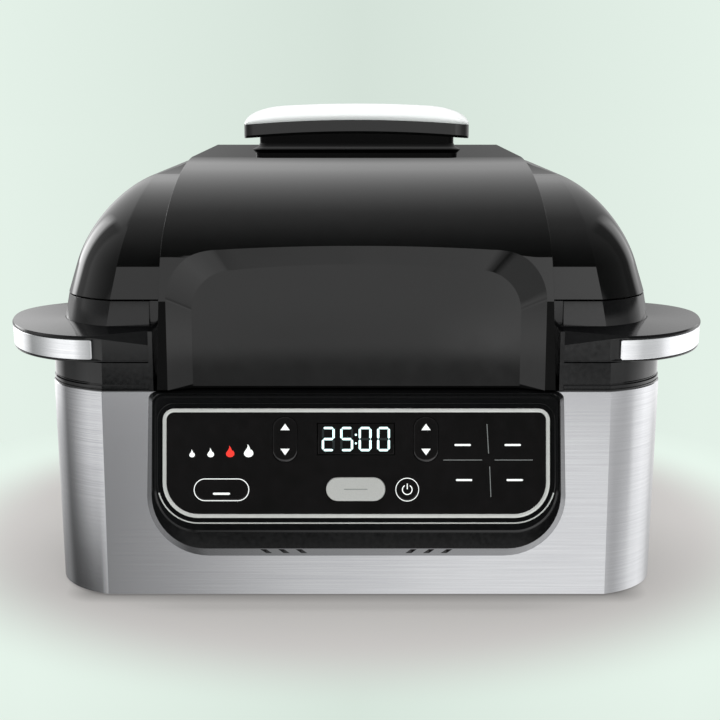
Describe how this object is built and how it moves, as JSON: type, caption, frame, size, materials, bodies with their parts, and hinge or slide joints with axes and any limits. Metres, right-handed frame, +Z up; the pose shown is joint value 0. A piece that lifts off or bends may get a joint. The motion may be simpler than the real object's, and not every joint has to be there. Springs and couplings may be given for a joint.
{
  "type": "electric indoor grill",
  "caption": "Countertop electric grill with a steel-wrapped body, side wings, a sloping key panel, a lift-out pot and grate, and a hinged domed hood with its own fan.",
  "frame": {"origin": "on the table, midway across the wings and midway between the console's nose and the back bumpers", "axes": "+X right as the user faces the panel, +Y to the back, +Z up"},
  "size_m": [0.428, 0.355, 0.28],
  "materials": {
    "rubber_feet": "moulded, matt",
    "black_plastic": "moulded, fine texture",
    "brushed_steel": "brushed along its length",
    "gloss_black": "polished black moulding",
    "satin_black": "satin black moulding",
    "brushed_trim": "brushed, bright",
    "sheet_steel": "mill finish sheet",
    "circuit_board": "green laminate",
    "chrome_trim": "polished",
    "panel_glass": "black printed glass",
    "display_light": "lit display segments",
    "silver_key": "silver painted key",
    "hinge_steel": "turned and zinc plated",
    "nonstick": "ceramic non-stick coat",
    "cast_grate": "cast, non-stick coat",
    "silicone_seal": "silicone",
    "coil_steel": "oxidised heater sheath",
    "motor_steel": "pressed motor can",
    "handle_steel": "satin bright steel"
  },
  "bodies": {
    "base": {"feet": "rubber_feet", "base_pan": "black_plastic", "steel_wrap": "brushed_steel", "rear_cover": "black_plastic", "rim_band": "black_plastic", "upper_frame": "gloss_black", "side_handle_left": "satin_black", "side_handle_right": "satin_black", "handle_trim_left": "brushed_trim", "handle_trim_right": "brushed_trim", "heat_chamber": "sheet_steel", "heat_shield": "sheet_steel", "power_board": "circuit_board", "control_housing": "gloss_black", "control_bezel": "gloss_black", "panel_trim": "chrome_trim", "panel_glass": "panel_glass", "display_module": "black_plastic", "display_digits": "display_light", "control_board": "circuit_board", "hinge_brackets": "sheet_steel", "hinge_pins": "hinge_steel", "cord_gland": "rubber_feet", "lid_switch": "black_plastic", "base_screws": "hinge_steel"},
    "start_button": {"start_key": "silver_key"},
    "power_button": {"power_key": "gloss_black"},
    "grill_button": {"grill_key": "gloss_black"},
    "temperature_button": {"temperature_rocker": "gloss_black"},
    "timer_button": {"timer_rocker": "gloss_black"},
    "pot": {"cooking_pot": "nonstick"},
    "grate": {"grill_grate": "cast_grate"},
    "hood": {"hood_shell": "gloss_black", "hood_band": "gloss_black", "apron_back": "black_plastic", "hood_liner": "sheet_steel", "hood_gasket": "silicone_seal", "heating_coil": "coil_steel", "coil_clips": "sheet_steel", "motor_bracket": "sheet_steel", "fan_motor": "motor_steel", "splatter_shield": "sheet_steel", "temperature_probe": "hinge_steel", "handle_base": "gloss_black", "handle_grip": "gloss_black", "handle_cap": "handle_steel", "rear_vent": "black_plastic", "hinge_arms": "hinge_steel"},
    "fan": {"air_fan": "sheet_steel", "fan_shaft": "hinge_steel"}
  },
  "joints": [
    {"name": "hood_hinge", "type": "hinge", "parent": "base", "child": "hood", "pos_m": [0, 0.166, 0.165], "axis": [-1, 0, 0], "range_deg": [0, 78]},
    {"name": "fan_spin", "type": "hinge", "parent": "hood", "child": "fan", "pos_m": [0, 0.008, 0.2], "axis": [0, 0, 1], "continuous": true},
    {"name": "pot_lift", "type": "slide", "parent": "base", "child": "pot", "axis": [0, 0, 1], "range_m": [0, 0.008]},
    {"name": "grate_lift", "type": "slide", "parent": "pot", "child": "grate", "axis": [0, 0, 1], "range_m": [0, 0.055]},
    {"name": "start_press", "type": "slide", "parent": "base", "child": "start_button", "axis": [0, 0.9806, -0.1961], "range_m": [0, 0.0006], "stiffness_N_per_m": 800, "springref_m": -0.0005},
    {"name": "power_press", "type": "slide", "parent": "base", "child": "power_button", "axis": [0, 0.9806, -0.1961], "range_m": [0, 0.0006], "stiffness_N_per_m": 800, "springref_m": -0.0005},
    {"name": "grill_press", "type": "slide", "parent": "base", "child": "grill_button", "axis": [0, 0.9806, -0.1961], "range_m": [0, 0.0006], "stiffness_N_per_m": 800, "springref_m": -0.0005},
    {"name": "temperature_rock", "type": "hinge", "parent": "base", "child": "temperature_button", "pos_m": [-0.0398, -0.16279, 0.09574], "axis": [1, 0, 0], "range_deg": [-2, 2], "stiffness_Nm_per_rad": 0.4},
    {"name": "timer_rock", "type": "hinge", "parent": "base", "child": "timer_button", "pos_m": [0.039, -0.16279, 0.09574], "axis": [1, 0, 0], "range_deg": [-2, 2], "stiffness_Nm_per_rad": 0.4}
  ]
}
